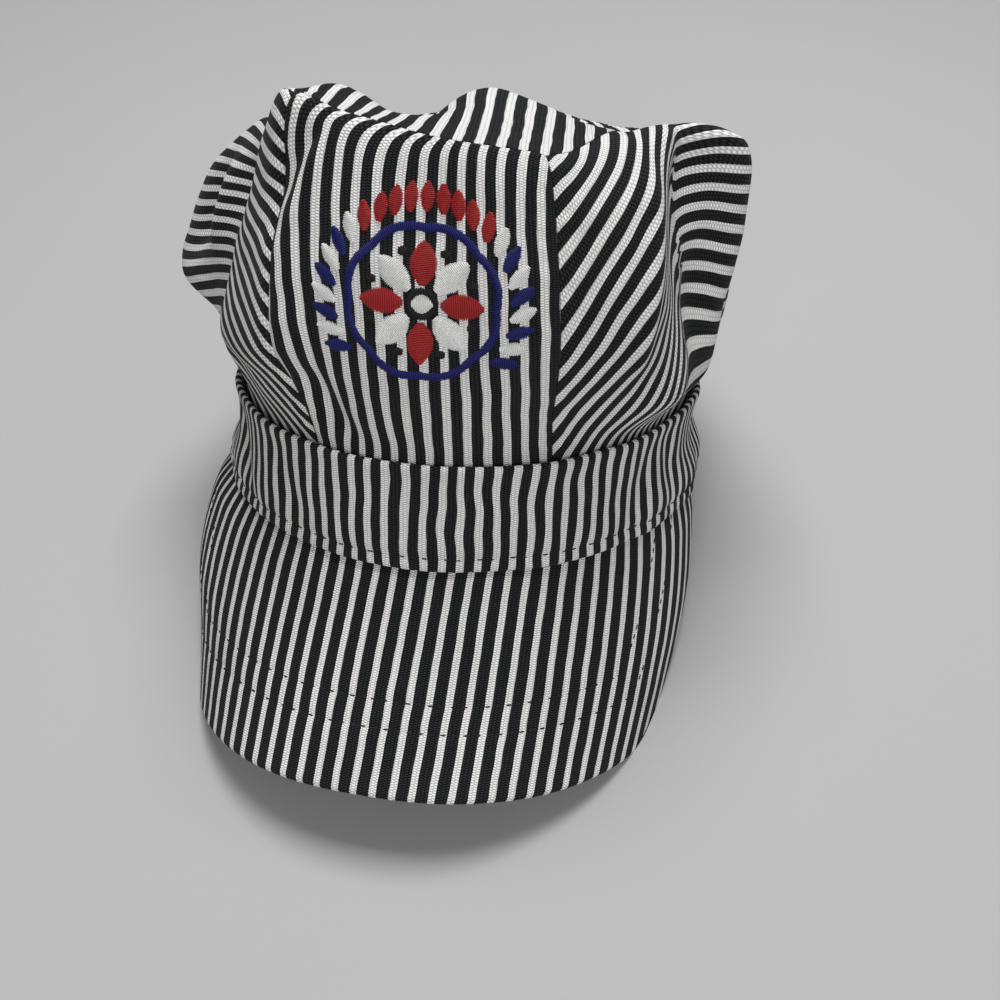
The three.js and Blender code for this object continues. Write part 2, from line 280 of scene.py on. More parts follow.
def crownTop(angle, away):
    edge = crownWall(angle, 1.0)
    centre = crown["topCentre"]
    x = mix(centre[0], edge[..., 0], away)
    y = mix(centre[1], edge[..., 1], away)
    z = mix(centre[2], edge[..., 2], away ** crown["dome"])
    for sx, sy, radius, height in crown["swells"]:
        near = ((x - sx) ** 2 + (y - sy) ** 2) / radius ** 2
        z = z + height * np.exp(-near) * smooth((1 - away) * crown["swellFade"])
    point = np.stack([x, y, z], -1)
    inward = (1 - away) * crown["rimStretch"]
    for wave in unevenness.values():
        z = z + ripples(point, *wave) * smooth(inward / crown["rimCalm"])
    point[..., 2] = z
    return point


print("crown shape ready")

# Shells: a sheet of cloth is a grid of places on its outside, backed by its inside, and
# rolled over at its edges.


def added(name, data):
    made = bpy.data.objects.new(name, data)
    bpy.context.scene.collection.objects.link(made)
    return made


def spread(count, length, radius):
    # places along a side: evenly laid, with more at the rolled edges, and how full the edge is
    roll = np.array([0, 0.03, 0.12, 0.3, 0.6])
    edge = roll * radius / length
    middle = np.linspace(radius / length, 1 - radius / length, count)
    full = np.sqrt(1 - (1 - roll) ** 2)
    at = np.concatenate([edge, middle, 1 - edge[::-1]])
    return at, np.concatenate([full, np.ones(count), full[::-1]])


def newMesh(name, points, quads):
    mesh = bpy.data.meshes.new(name)
    mesh.from_pydata(points, [], quads)
    mesh.polygons.foreach_set("use_smooth", [True] * len(quads))
    return mesh


def shell(name, surface, across, upward, thickness, cloth, ring=False, facing=None):
    us, fullU = across
    vs, fullV = upward
    U, V = np.meshgrid(us, vs)
    skin = surface(U, V)
    alongU = np.gradient(skin, axis=1)
    if ring:
        alongU[:, 0] = alongU[:, -1] = (skin[:, 1] - skin[:, -2]) / 2
    normal = unit(np.cross(alongU, np.gradient(skin, axis=0)))
    if facing:
        normal = facing(U, V, normal)
    full = np.minimum(fullU[None, :], fullV[:, None])[..., None]
    middle = skin - normal * thickness / 2
    bulge = normal * full * thickness / 2
    ids = np.arange(U.size).reshape(U.shape)
    if ring:
        ids[:, -1] = ids[:, 0]
    inside = ids + U.size
    inside[[0, -1]] = ids[[0, -1]]
    if not ring:
        inside[:, [0, -1]] = ids[:, [0, -1]]
    uv = np.stack(cloth(U, V), -1)
    corners = lambda grid: np.stack([grid[:-1, :-1], grid[:-1, 1:], grid[1:, 1:], grid[1:, :-1]], 2)
    quads = np.concatenate([corners(ids).reshape(-1, 4), corners(inside).reshape(-1, 4)[:, ::-1]])
    uv = corners(uv).reshape(-1, 4, 2)
    used, index = np.unique(quads, return_inverse=True)
    points = toFrame(np.stack([middle + bulge, middle - bulge]).reshape(-1, 3))[used]
    mesh = newMesh(name, points.tolist(), index.reshape(quads.shape).tolist())
    layer = mesh.uv_layers.new(name="cloth")
    layer.data.foreach_set("uv", np.concatenate([uv, uv[:, ::-1]]).astype(np.float32).ravel())
    mesh.update()
    return added(name, mesh)


def unroll(surface, heading, columns=170, rows=110, steps=900, hold=0.8, pleat=None):
    # Lays the striped cloth on a surface: finds how far each place lies across and along the
    # stripes, so that they run as near as they can to the heading and stay evenly spaced.
    # hold says how much more the heading counts than the spacing. pleat tells which places lie
    # beyond a pleat and which are level with it: the cloth is not joined across it.
    U, V = np.meshgrid(np.linspace(0, 1, columns + 1), np.linspace(0, 1, rows + 1))
    points = surface(U, V)
    alongU = np.gradient(points, axis=1)
    alongV = np.gradient(points, axis=0)
    normal = unit(np.cross(alongU, alongV))
    stripe = heading(U, V, unit(alongU), unit(np.cross(normal, unit(alongU))), normal)
    sizeU = np.linalg.norm(alongU, axis=-1)
    sizeV = np.linalg.norm(alongV, axis=-1)
    middle = lambda a, axis: (np.take(a, range(1, a.shape[axis]), axis) +
                              np.take(a, range(a.shape[axis] - 1), axis)) / 2
    weightU = middle(sizeV, 1) / middle(sizeU, 1)
    weightV = middle(sizeU, 0) / middle(sizeV, 0)
    stepU = np.diff(points, axis=1)
    stepV = np.diff(points, axis=0)

    cellU = middle(stepU, 0)
    cellV = middle(stepV, 1)
    cellNormal = np.cross(cellU, cellV)
    area = np.linalg.norm(cellNormal, axis=-1)
    cellNormal = cellNormal / area[..., None] ** 2
    if pleat:
        beyond, level = pleat(U, V)
        partedU = (beyond[:, 1:] != beyond[:, :-1]) & level[:, 1:]
        partedV = (beyond[1:] != beyond[:-1]) & level[1:]
        weightU = np.where(partedU, 1e-6, weightU)
        weightV = np.where(partedV, 1e-6, weightV)
        area = np.where(partedU[1:] | partedU[:-1] | partedV[:, 1:] | partedV[:, :-1], 0, area)

    def gather(flowU, flowV, sign=-1):
        total = np.zeros(U.shape)
        total[:, 1:] += flowU
        total[:, :-1] += sign * flowU
        total[1:] += flowV
        total[:-1] += sign * flowV
        return total

    def held(field, level):
        # what the field changes by along a direction in which it should stay level
        slopeU = (level * np.cross(cellV, cellNormal)).sum(-1)
        slopeV = (level * np.cross(cellNormal, cellU)).sum(-1)
        change = slopeU * middle(np.diff(field, axis=1), 0) + slopeV * middle(np.diff(field, axis=0), 1)
        change = change * hold * area
        flowU = np.zeros(weightU.shape)
        flowV = np.zeros(weightV.shape)
        for part in (slice(1, None), slice(None, -1)):
            flowU[part] += slopeU * change / 2
            flowV[:, part] += slopeV * change / 2
        return gather(flowU, flowV)

    scale = gather(weightU, weightV, 1)
    fields = []
    for wanted, straight in ((np.cross(stripe, normal), stripe), (stripe, np.cross(stripe, normal))):
        level = unit(middle(middle(straight, 0), 1))
        goalU = (stepU * middle(wanted, 1)).sum(-1)
        goalV = (stepV * middle(wanted, 0)).sum(-1)
        field = np.zeros(U.shape)
        left = gather(weightU * goalU, weightV * goalV)
        push = left / scale
        run = push.copy()
        size = (left * push).sum()
        for _ in range(steps):
            pull = gather(weightU * np.diff(run, axis=1), weightV * np.diff(run, axis=0))
            pull += held(run, level)
            share = size / (run * pull).sum()
            field += share * run
            left -= share * pull
            push = left / scale
            grown = (left * push).sum()
            run = push + grown / size * run
            size = grown
            if size < 1e-9:
                break
        fields.append(field)
    return fields


def laidOn(fields, atU, atV, offset):
    # reads the fields that unroll made at other places; offset moves the stripes sideways
    read = lambda rows, at: np.array([np.interp(at, np.linspace(0, 1, len(row)), row) for row in rows])
    across, along = (read(read(field, atU[0]).T, atV[:, 0]).T for field in fields)
    return across + offset, along


# Shader graphs. A Wire is a socket that Python's arithmetic turns into Math nodes.


class Wire:
    def __init__(self, graph, socket):
        self.graph = graph
        self.socket = socket

    def math(self, operation, *values):
        return self.graph.node("ShaderNodeMath", dict(enumerate(values)), operation=operation)

    def __abs__(self):
        return self.math("ABSOLUTE", self)

    def fract(self):
        return self.math("FRACT", self)

    def floor(self):
        return self.math("FLOOR", self)

    def clamped(self):
        return self.graph.node("ShaderNodeClamp", {"Value": self})


# each operator and its reflected form, so that 1 - mask works as mask - 1 does
for sign, operation in {"add": "ADD", "sub": "SUBTRACT", "mul": "MULTIPLY", "truediv": "DIVIDE",
                        "pow": "POWER"}.items():
    setattr(Wire, f"__{sign}__", lambda self, other, how=operation: self.math(how, self, other))
    setattr(Wire, f"__r{sign}__", lambda self, other, how=operation: self.math(how, other, self))


class Graph:
    def __init__(self, tree):
        self.tree = tree
        tree.nodes.clear()

    def node(self, kind, values=None, output=0, **settings):
        # any node: its settings first, then a value or a link for each socket it names
        made = self.tree.nodes.new(kind)
        for name, value in settings.items():
            setattr(made, name, value)
        for name, value in (values or {}).items():
            if isinstance(value, Wire):
                self.tree.links.new(value.socket, made.inputs[name])
            else:
                made.inputs[name].default_value = value
        return Wire(self, made.outputs[output]) if made.outputs else made

    def blendColours(self, factor, first, second):
        return self.node("ShaderNodeMix", {0: factor, 6: first, 7: second}, 2, data_type="RGBA")

    def noise(self, place, scale, detail, **settings):
        values = {"Vector": place, "Scale": scale, "Detail": detail}
        return self.node("ShaderNodeTexNoise", values, **settings)

    def bump(self, height, look):
        values = {"Height": height, "Strength": look["bump"], "Distance": look["relief"]}
        return self.node("ShaderNodeBump", values)


def grey(level, warmth=0.0):
    return (level * (1 + warmth), level, level * (1 - warmth), 1)


def newMaterial(name):
    material = bpy.data.materials.new(name)
    material.use_nodes = True
    return material, Graph(material.node_tree)


def finish(graph, sockets):
    shader = graph.node("ShaderNodeBsdfPrincipled", sockets)
    graph.node("ShaderNodeOutputMaterial", {"Surface": shader})


canvas = {
    "rib": 0.72, "thread": 1.1,  # the weave's cross ribs and the threads that run along a stripe
    "stagger": 0.5, "uneven": 0.35, "groove": 0.65,  # how the threads lie beside each other
    "wobble": 0.35, "edge": 0.12, "fray": 0.22,  # how far a stripe strays, and its soft edge
    "stray": 0.12, "fuzz": 3.1, "broad": 0.03,  # sizes of the noises behind them, per millimetre
    # the white stripes are painted darker in the weave's grooves: painted shade
    "white": grey(0.93, 0.006), "whitePaintedShade": grey(0.4, 0.008),
    # the black stripes are painted lighter on the weave's ribs: painted highlight
    "black": grey(0.0035, -0.02), "blackPaintedHighlight": grey(0.034, -0.06),
    "worn": 0.28, "nap": 0.6, "bump": 0.8, "relief": 0.0003,
    "roughness": 0.92, "sheen": 0.04, "sheenRoughness": 0.4, "specular": 0.1,
}


def stripedCanvas(name, pitch, share, drift):
    # black and white striped cotton; the map named cloth gives millimetres across and along
    material, graph = newMaterial(name)
    cloth = graph.node("ShaderNodeUVMap", uv_map="cloth")
    across, along = (graph.node("ShaderNodeSeparateXYZ", {"Vector": cloth}, axis) for axis in (0, 1))
    noise = lambda size, detail: graph.noise(cloth, canvas[size], detail, noise_dimensions="2D")
    stray = noise("stray", 2.0)
    fuzz = noise("fuzz", 3.0)
    broad = noise("broad", 2.0)
    column = across / canvas["thread"]
    shift = (column.floor() * canvas["stagger"]).fract()
    row = along / canvas["rib"] + shift + (fuzz - 0.5) * canvas["uneven"]
    rib = 1 - abs(row.fract() * 2 - 1) ** 2
    groove = 1 - abs(column.fract() * 2 - 1) ** 4
    weave = rib * (1 - canvas["groove"] + canvas["groove"] * groove)
    place = across + (stray - 0.5) * canvas["wobble"] + (broad - 0.5) * drift
    place = (place + (rib - 0.5) * canvas["fray"] * (fuzz - 0.2)) / pitch
    away = abs(place.fract() - 0.5) * pitch
    white = ((share * pitch / 2 - away) / canvas["edge"] + 0.5).clamped()
    # painted shade: the white stripes are darker where the weave sinks into its grooves
    light = graph.blendColours(weave, canvas["whitePaintedShade"], canvas["white"])
    # painted highlight: the black stripes are lighter on the tops of the weave's ribs, mottled by the fuzz
    # noise
    dark = graph.blendColours((weave ** 2 * (fuzz + 0.4)).clamped(), canvas["black"], canvas["blackPaintedHighlight"])
    colour = graph.blendColours(white, dark, light)
    fresh = (1 - canvas["worn"] / 2 + canvas["worn"] * broad).clamped()
    height = weave + (fuzz - 0.5) * canvas["nap"]
    finish(graph, {
        "Base Color": graph.blendColours(fresh, grey(0.0), colour), "Normal": graph.bump(height, canvas),
        "Roughness": canvas["roughness"], "Specular IOR Level": canvas["specular"],
        "Sheen Weight": canvas["sheen"], "Sheen Roughness": canvas["sheenRoughness"]})
    return material


spun = {"twist": 2600.0, "twistShare": 0.7, "mottle": 420.0, "mottleShare": 0.5, "dark": 0.6,
        "bump": 0.5, "relief": 0.0001, "specular": 0.3}


def spunThread(name, colour, gloss):
    # twisted sewing or embroidery thread
    material, graph = newMaterial(name)
    place = graph.node("ShaderNodeTexCoord", output="Object")
    twist = graph.noise(place, spun["twist"], 2.0)
    mottle = graph.noise(place, spun["mottle"], 1.0)
    darker = tuple(spun["dark"] * part for part in colour[:3]) + (1,)
    lit = (twist * spun["twistShare"] + mottle * spun["mottleShare"]).clamped()
    shade = graph.blendColours(lit, darker, colour)
    finish(graph, {"Base Color": shade, "Roughness": 1 - gloss, "Normal": graph.bump(twist, spun),
                   "Specular IOR Level": spun["specular"]})
    return material


clothOf = {
    # each: the stripes' spacing, the white share of it, and how far they drift
    "crown_cloth": stripedCanvas("crown_canvas", 5.3, 0.43, 2.0),
    "band_cloth": stripedCanvas("band_canvas", 5.3, 0.43, 4.0),
    "peak_cloth": stripedCanvas("peak_canvas", 5.6, 0.36, 0.6),
}
print("cloth ready")


def dress(piece, node, slot):
    piece.data.materials.append(clothOf[slot])
    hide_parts(node)
    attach(piece, "root")


# The band: a ring of cloth with a full upper edge, drawn in along its lower stitching.
bandLook = {
    "columns": 420, "rows": 30, "edge": 1.0, "roll": 0.5, "rollWidth": 2.6, "rollBelow": 1.5,
    "stitchDip": 0.5, "stitchWidth": 1.2, "phase": 1.4, "radius": 87, "backRadius": 93,
    "puckers": 0.22, "puckerLength": 1.3, "puckerDrift": 9, "puckerReach": 4.5,
    "unevenness": (0.5, 26, 3),  # height, wavelength, seed
    # each crease: angle at the foot, angle at the top, half width, depth
    "creases": [(-37, -57, 3.5, -1.1), (-20, -31, 3, -0.6), (30, 34, 3, -0.5), (47, 58, 3.5, -1),
                (68, 62, 3, -0.8), (-72, -78, 4, -0.9)],
    "creaseFoot": 0.35, "creaseHead": 0.3, "probe": (0.3, 0.01),
}


def bandSurface(angle, up):
    look = bandLook
    z = up * band["height"]
    point = atAngle(bandRadius(angle, up), angle, z)
    place = np.radians(angle) * look["radius"]
    below = np.abs(z - band["stitchUp"])
    push = look["roll"] * hump(band["height"] - z - look["rollBelow"], look["rollWidth"])
    push = push - look["stitchDip"] * hump(below, look["stitchWidth"])
    puckers = np.sin(place / look["puckerLength"] + 2 * np.sin(place / look["puckerDrift"]))
    push = push + look["puckers"] * puckers * hump(below, look["puckerReach"])
    push = push + ripples(point, *look["unevenness"])
    turn = (angle + 180) % 360 - 180
    for foot, head, halfWidth, depth in look["creases"]:
        fade = smooth(up / look["creaseFoot"]) * smooth((1 - up) / look["creaseHead"])
        push = push + depth * hump(turn - mix(foot, head, up), halfWidth) * fade
    push = push + seamDip(np.radians(180 - np.abs(turn)) * look["backRadius"], z)
    return atAngle(bandRadius(angle, up) + push, angle, z)


def bandCloth(U, V):
    turns = np.linspace(-180, 180, 721)
    length = lengthAlong(bandSurface(turns, np.full(turns.shape, 0.5)))
    length = length - np.interp(0, turns, length) + bandLook["phase"]
    return np.interp(U * 360 - 180, turns, length), V * band["height"]


def makeBand():
    around = np.linspace(0, 1, bandLook["columns"] + 1)
    us = around, np.ones(around.shape)
    vs = spread(bandLook["rows"], band["height"], bandLook["edge"])
    surface = lambda U, V: bandSurface(U * 360 - 180, V)
    made = shell("band_cloth", surface, us, vs, band["thickness"], bandCloth, ring=True)
    dress(made, "band", "band_cloth")


makeBand()
print("band made")

# The peak: the band's lower outline carried forward and down on a straight slope. The first
# of its rows is the flange, which stands inside the band.
peak = {
    "slope": 49.4, "halfWidth": 80, "tipReach": 136, "roundFrom": -47, "roundness": 2.1,
    "sideSlope": 38.2, "sideEnd": 3, "flange": 5, "thickness": 3, "lastAngle": 90.5, "rows": 10,
    "sideAt": [0, 12, 35, 55, 80], "sideLeft": [0, 7, 7.5, 1, -7], "sideRight": [0, 3, 5, 4, 1],
    "sidePower": 3, "columns": 250, "lines": 84, "width": 330, "longest": 90, "rimPull": 5, "rimBlend": 4,
    "phase": 4.9, "unevenness": (0.45, 40, 21), "rootCalm": 6, "probe": (0.3, 0.4),
    "stitchIn": (19, 27), "stitchDip": 0.4, "stitchWidth": 1.1, "stitchSlack": 0.4, "stitchClear": 1,
}
peakDown = sine(peak["slope"])
peakForward = cosine(peak["slope"])


def peakLength(angle):
    root = atAngle(outline(band["halfWidth"], band["halfLength"], angle), angle, 0)
    x, y = root[..., 0], root[..., 1]
    wide = np.minimum(1, np.abs(x) / peak["halfWidth"]) ** peak["roundness"]
    reach = (peak["tipReach"] + peak["roundFrom"]) * (1 - wide) ** (1 / peak["roundness"])
    front = (y - (peak["roundFrom"] - reach)) / peakForward
    rise = math.tan(math.radians(peak["sideSlope"]))
    side = rise * (peak["sideEnd"] - y) / (peakDown - rise * peakForward)
    return (front ** -8.0 + side ** -8.0) ** (-1 / 8)


def peakPoint(angle, run):
    height = np.maximum(0, -run)
    root = atAngle(bandRadius(angle, height / band["height"]) - band["rootInset"], angle, height)
    flare = sidePush(peak, angle, run) * (run > 0)
    out = np.maximum(run, 0)
    return root + np.stack([flare, -out * peakForward, -out * peakDown], -1)


def peakSheet():
    # the peak laid flat: how far across it each angle's line lies, and where that line starts
    angles = np.linspace(-peak["lastAngle"], peak["lastAngle"], 721)
    root = atAngle(bandRadius(angles, 0.0) - band["rootInset"], angles, 0)
    slope = np.array([0, -peakForward, -peakDown])
    start = root @ slope
    across = lengthAlong(root - start[:, None] * slope)
    across -= np.interp(0, angles, across)
    return angles, across, start, start + peakLength(angles)


def rimDistance(across, along):
    # how far places on the peak laid flat are from its rim
    _, rimAcross, _, rimAlong = peakSheet()
    far = np.full(across.shape, 1e9)
    for x, y in zip(rimAcross[::2], rimAlong[::2]):
        far = np.minimum(far, np.hypot(across - x, along - y))
    return far


def peakFlat(angle, run):
    angles, across, start, _ = peakSheet()
    return np.interp(angle, angles, across), np.interp(angle, angles, start) + run


def peakPlace(U, V):
    # the angle and the run down the slope, with even spacing at the rolled rim
    angle = (2 * U - 1) * -peak["lastAngle"]
    out = (V * peak["rows"] - 1) / (peak["rows"] - 1)
    length = peakLength(angle)
    left = 1 - out
    wide = np.minimum(peak["longest"], peak["rimPull"] * length) - length
    inward = left * (length + wide * np.exp(-left * peak["longest"] / peak["rimBlend"]))
    return angle, np.where(out < 0, -peak["flange"] * (1 - V * peak["rows"]), length - inward)


def peakOutside(angle, run):
    point = peakPoint(angle, run)
    away = rimDistance(*peakFlat(angle, run))
    shown = smooth(run / peak["rootCalm"])
    push = ripples(point, *peak["unevenness"]) * shown
    for inset in peak["stitchIn"]:
        push = push - peak["stitchDip"] * hump(away - inset, peak["stitchWidth"]) * shown
    return point + np.array([0, -peakDown, peakForward]) * push[..., None]


def peakCloth(U, V):
    across, along = peakFlat(*peakPlace(U, V))
    return across + peak["phase"], along


def makePeak():
    us = spread(peak["columns"], peak["width"], peak["thickness"] / 2)
    vs = spread(peak["lines"], peak["longest"], peak["thickness"] / 2)
    surface = lambda U, V: peakOutside(*peakPlace(U, V))
    made = shell("peak_cloth", surface, us, vs, peak["thickness"], peakCloth)
    dress(made, "peak", "peak_cloth")


makePeak()
print("peak made")

# The crown: a front panel and two side panels. A table of turns gives the way the stripes
# run over each, in degrees from level, by angle round the cap (rows) and by height (columns).
seams.update({"backLeft": (-180, -180, -180), "backRight": (180, 180, 180)})
sideUp = [0, 0.15, 0.3, 0.45, 0.6, 0.74, 0.82, 0.9, 1]
panels = {
    "front_panel": {
        "from": "left", "to": "right", "crowd": 1, "towards": 1, "columns": 100,
        "phase": 4.9, "hold": 0.8,
        "up": [0, 0.2, 0.4, 0.6, 0.75, 0.84, 0.9, 0.95, 1], "turns": {
            -20: [102, 96, 86, 86, 92, 92, 88, 82, 76], -14: [98, 97, 87, 88, 96, 92, 72, 44, 38],
            -8: [95, 93, 88, 92, 98, 86, 56, 26, 22], 0: [92, 90, 90, 94, 98, 101, 84, 34, 26],
            10: [93, 94, 95, 96, 98, 101, 96, 82, 72], 24: [95, 98, 99, 96, 97, 96, 90, 78, 64],
        },
    },
    "right_side_panel": {
        "from": "backLeft", "to": "left", "crowd": 1.5, "towards": 1, "columns": 200,
        "phase": 2.0, "hold": 0.8,
        "up": sideUp, "turns": {
            -180: [225] * 9, -150: [215, 215, 215, 214, 212, 210, 210, 210, 210],
            -110: [205, 205, 203, 200, 195, 190, 188, 186, 185],
            -84: [200, 204, 206, 206, 196, 184, 180, 176, 175],
            -72: [192, 200, 206, 206, 184, 170, 170, 170, 170],
            -64: [186, 196, 204, 208, 200, 168, 168, 168, 169],
            -56: [180, 188, 200, 203, 200, 188, 172, 170, 168],
            -51: [176, 182, 184, 180, 176, 178, 170, 169, 167],
            -44: [171, 168, 158, 152, 158, 162, 166, 168, 166],
            -33: [165, 150, 128, 132, 148, 158, 164, 167, 165],
            -27: [156, 138, 112, 118, 136, 148, 156, 160, 162],
            -21: [146, 128, 104, 108, 118, 134, 142, 150, 154],
        },
    },
    "left_side_panel": {
        "from": "right", "to": "backRight", "crowd": 1.5, "towards": 0, "columns": 200,
        "phase": 1.2, "hold": 0.25,
        "up": sideUp, "turns": {
            25: [57, 62, 66, 60, 50, 41, 34, 31, 34], 32: [56, 65, 70, 62, 48, 37, 28, 30, 34],
            38: [54, 68, 74, 64, 54, 42, 30, 30, 30], 43: [52, 72, 82, 78, 70, 62, 42, 28, 26],
            49: [50, 76, 90, 92, 90, 82, 52, 25, 26], 54: [46, 66, 86, 90, 84, 70, 40, 22, 28],
            59: [42, 46, 46, 30, 14, -2, 8, 24, 32], 66: [32, 20, -2, -8, -11, -12, 2, 22, 32],
            76: [20, 5, -8, -8, -7, -4, 2, 18, 30], 110: [8, 3, -4, -8, -10, -8, -2, 6, 10],
            150: [-20, -25, -28, -30, -30, -30, -30, -28, -25], 180: [-45] * 9,
        },
        "pleat": {"up": [0.16, 0.3, 0.45, 0.51, 0.58, 0.66, 0.8],
                  "angle": [61, 61, 61.6, 61.6, 59.4, 57, 56]},
    },
}


def panelAngle(panel, U, V):
    # crowd draws the columns together toward the panel's front seam
    share = 1 - (1 - U) ** panel["crowd"] if panel["towards"] else U ** panel["crowd"]
    return mix(seamAngle(panel["from"], V), seamAngle(panel["to"], V), share)


def turnedAtRim(angle, up, normal):
    # at the top's seam, the wall and the top face the same way, so that they meet closed
    near = smooth(1 - (1 - up) * crown["rimStretch"] / crown["rimTurn"])[..., None]
    return unit(mix(normal, unit(atAngle(1, angle, 1)), near))


def pleatIn(panel):
    if "pleat" not in panel:
        return None
    up, line = panel["pleat"]["up"], panel["pleat"]["angle"]
    return lambda U, V: (panelAngle(panel, U, V) > np.interp(V, up, line), (V > up[0]) & (V < up[-1]))


def crownSheet(node, surface, across, upward, heading, facing, look, **laying):
    # one piece of the crown, with its stripes laid along the heading
    fields = unroll(surface, heading, **laying)
    cloth = lambda U, V: laidOn(fields, U, V, look["phase"])
    sides = (spread(count, length, crown["thickness"] / 2) for count, length in (across, upward))
    made = shell(node.replace("panel", "cloth"), surface, *sides, crown["thickness"], cloth, facing=facing)
    dress(made, node, "crown_cloth")
    print(node, "made")


def makePanel(node):
    panel = panels[node]
    surface = lambda U, V: crownWall(panelAngle(panel, U, V), V)

    def heading(U, V, around, upward, normal):
        angle = panelAngle(panel, U, V)
        angles = list(panel["turns"])
        rows = np.array(list(panel["turns"].values()), float)
        turn = through(panel["up"], [through(angles, column, angle) for column in rows.T], V)
        return around * cosine(turn)[..., None] + upward * sine(turn)[..., None]

    facing = lambda U, V, normal: turnedAtRim(panelAngle(panel, U, V), V, normal)
    across = panel["columns"], panel["columns"] * crown["columnWidth"]
    upward = crown["lines"], crown["wallLength"]
    crownSheet(node, surface, across, upward, heading, facing, panel,
               hold=panel["hold"], pleat=pleatIn(panel))


for panelName in panels:
    makePanel(panelName)

# The oval top, on a square grid drawn out to a disc. Its stripes run from front to back and
# swing to the wearer's left near the front corner; the table gives that swing by x.
top = {"columns": 120, "width": 110, "phase": 4.2, "cells": 110,
       "x": [-60, -30, -12, -4, 6, 28, 60], "turn": [102, 99, 92, 84, 96, 98, 101]}


def discPlace(U, V):
    a = 2 * U - 1
    b = 2 * V - 1
    x = a * np.sqrt(1 - b * b / 2)
    y = b * np.sqrt(1 - a * a / 2)
    return np.degrees(np.arctan2(x, -y)), np.minimum(1, np.hypot(x, y))


def makeTop():
    surface = lambda U, V: crownTop(*discPlace(U, V))

    def heading(U, V, around, upward, normal):
        turn = through(top["x"], top["turn"], surface(U, V)[..., 0])
        plan = np.stack([cosine(turn), sine(turn), np.zeros(turn.shape)], -1)
        return unit(plan - (plan * normal).sum(-1, keepdims=True) * normal)

    facing = lambda U, V, normal: turnedAtRim(*discPlace(U, V), normal)
    side = top["columns"], top["width"]
    crownSheet("top_panel", surface, side, side, heading, facing, top, columns=top["cells"])


makeTop()

# Stitches: a Geometry Nodes tree lays one arched thread at each point of a mesh, along the
# point's direction, arched toward its outward side and as long as its reach. Its radius, its
# rise and how deep its ends sink are in metres.
stitchInputs = {"places": "Geometry", "radius": "Float", "rise": "Float", "sink": "Float",
                "steps": "Int", "sides": "Int", "thread": "Material"}
topstitch = {"spacing": 3.3, "share": 0.8, "jitter": 0.04, "seed": 14, "colour": (0.012, 0.012, 0.014, 1),
             "gloss": 0.25, "radius": 0.0003, "rise": 0.00024, "sink": 0.0005, "steps": 5, "sides": 5}


def stitchTree():
    tree = bpy.data.node_groups.new("stitches", "GeometryNodeTree")
    for name, kind in stitchInputs.items():
        tree.interface.new_socket(name, in_out="INPUT", socket_type="NodeSocket" + kind)
    tree.interface.new_socket("stitches", in_out="OUTPUT", socket_type="NodeSocketGeometry")
    graph = Graph(tree)
    given = lambda name: graph.node("NodeGroupInput", output=name)
    held = lambda name, kind: graph.node("GeometryNodeInputNamedAttribute", {"Name": name}, data_type=kind)
    corner = lambda x, z: graph.node("ShaderNodeCombineXYZ", {"X": x, "Z": z})
    arch = graph.node("GeometryNodeCurveQuadraticBezier", {
        "Resolution": given("steps"), "Start": corner(-0.5, 0 - given("sink")),
        "Middle": corner(0.0, given("rise") * 2), "End": corner(0.5, 0 - given("sink"))})
    ring = graph.node("GeometryNodeCurvePrimitiveCircle", {
        "Resolution": given("sides"), "Radius": given("radius")})
    loop = graph.node("GeometryNodeCurveToMesh", {"Curve": arch, "Profile Curve": ring, "Fill Caps": True})
    along = graph.node("FunctionNodeAlignRotationToVector", {
        "Vector": held("direction", "FLOAT_VECTOR")}, axis="X")
    turned = graph.node("FunctionNodeAlignRotationToVector", {
        "Rotation": along, "Vector": held("outward", "FLOAT_VECTOR")}, axis="Z", pivot_axis="X")
    size = graph.node("ShaderNodeCombineXYZ", {"X": held("reach", "FLOAT"), "Y": 1.0, "Z": 1.0})
    laid = graph.node("GeometryNodeInstanceOnPoints", {
        "Points": given("places"), "Instance": loop, "Rotation": turned, "Scale": size})
    real = graph.node("GeometryNodeRealizeInstances", {"Geometry": laid})
    even = graph.node("GeometryNodeSetShadeSmooth", {"Geometry": real, "Shade Smooth": True})
    dressed = graph.node("GeometryNodeSetMaterial", {"Geometry": even, "Material": given("thread")})
    graph.node("NodeGroupOutput", {"stitches": dressed})
    return tree


stitches = stitchTree()


def sewn(name, ends, look, thread):
    # ends: for each stitch its start, end, and outward direction, in the frame, in metres
    start, end, outward = ends
    mesh = newMesh(name, ((start + end) / 2).tolist(), [])
    reach = np.linalg.norm(end - start, axis=-1)
    for label, values in {"direction": end - start, "outward": outward, "reach": reach}.items():
        kind, field = ("FLOAT_VECTOR", "vector") if values.ndim == 2 else ("FLOAT", "value")
        layer = mesh.attributes.new(label, kind, "POINT")
        layer.data.foreach_set(field, values.astype(np.float32).ravel())
    holder = added(name + "_places", mesh)
    modifier = holder.modifiers.new("stitches", "NODES")
    modifier.node_group = stitches
    given = {**look, "thread": thread}
    for item in stitches.interface.items_tree:
        if item.name in given:
            modifier[item.identifier] = given[item.name]
    evaluated = holder.evaluated_get(bpy.context.evaluated_depsgraph_get())
    made = added(name, bpy.data.meshes.new_from_object(evaluated))
    bpy.data.objects.remove(holder)
    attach(made, "root")
    print(name, "stitches", len(reach), "faces", len(made.data.polygons))


def spans(surface, a, b, probe):
    # how a surface runs both ways, between places as far to either side as probe says
    across = surface(a + probe[0], b) - surface(a - probe[0], b)
    return across, surface(a, b + probe[1]) - surface(a, b - probe[1])


def outwardAt(surface, a, b, probe):
    return unit(np.cross(*spans(surface, a, b, probe)))


